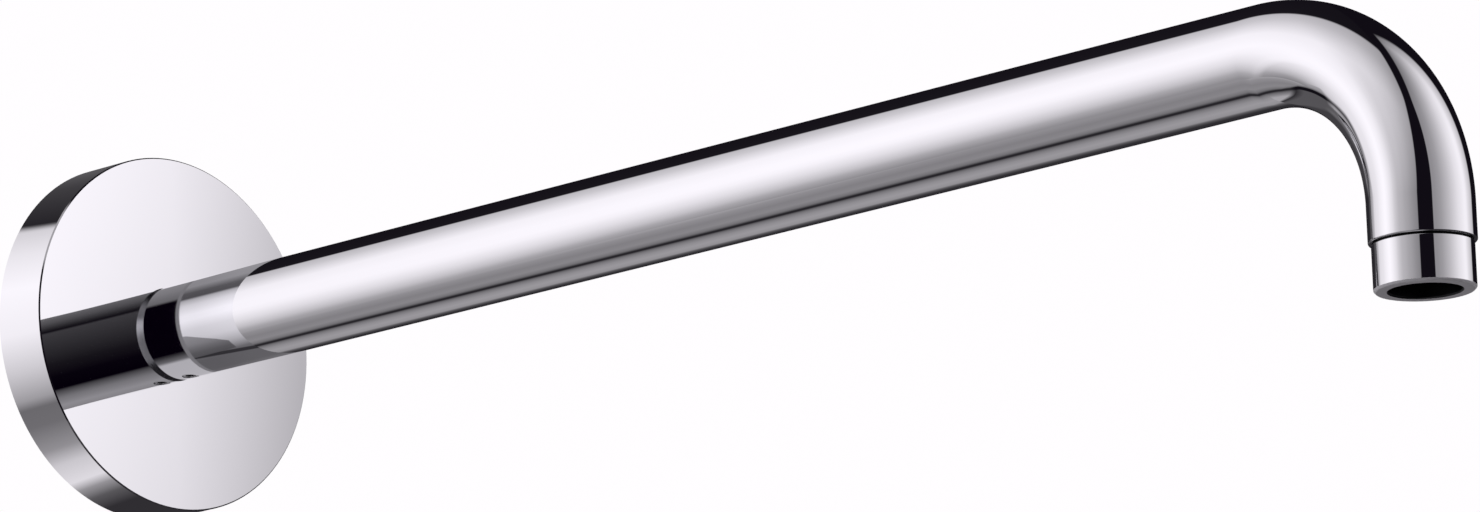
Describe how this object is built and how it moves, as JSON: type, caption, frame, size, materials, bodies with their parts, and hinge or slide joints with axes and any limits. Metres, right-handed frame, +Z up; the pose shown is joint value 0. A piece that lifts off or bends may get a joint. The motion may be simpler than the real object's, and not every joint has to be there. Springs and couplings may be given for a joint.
{
  "type": "shower arm",
  "caption": "Wall-mounted shower arm: a straight round tube out of a round cover plate, bent down at its end to a short outlet collar, on a threaded wall nipple.",
  "frame": {"origin": "on the tube's axis in the plane of the wall, at the centre of the cover plate's back", "axes": "+X out of the wall along the tube, +Z up, the outlet points to -Z"},
  "size_m": [0.4161, 0.084, 0.098],
  "materials": {
    "polished_chrome": "mirror polished chrome on brass",
    "turned_brass": "bare, fine turned",
    "ring_rubber": "smooth black",
    "seal_rubber": "matte dark grey",
    "screw_steel": "bright stainless"
  },
  "bodies": {
    "root": {"arm_tube": "polished_chrome", "outlet_nipple": "polished_chrome", "cover_plate": "polished_chrome", "wall_nipple": "turned_brass", "arm_sleeve": "turned_brass", "front_ring": "ring_rubber", "rear_ring": "ring_rubber", "wall_seal": "seal_rubber", "set_screw": "screw_steel"}
  },
  "joints": []
}
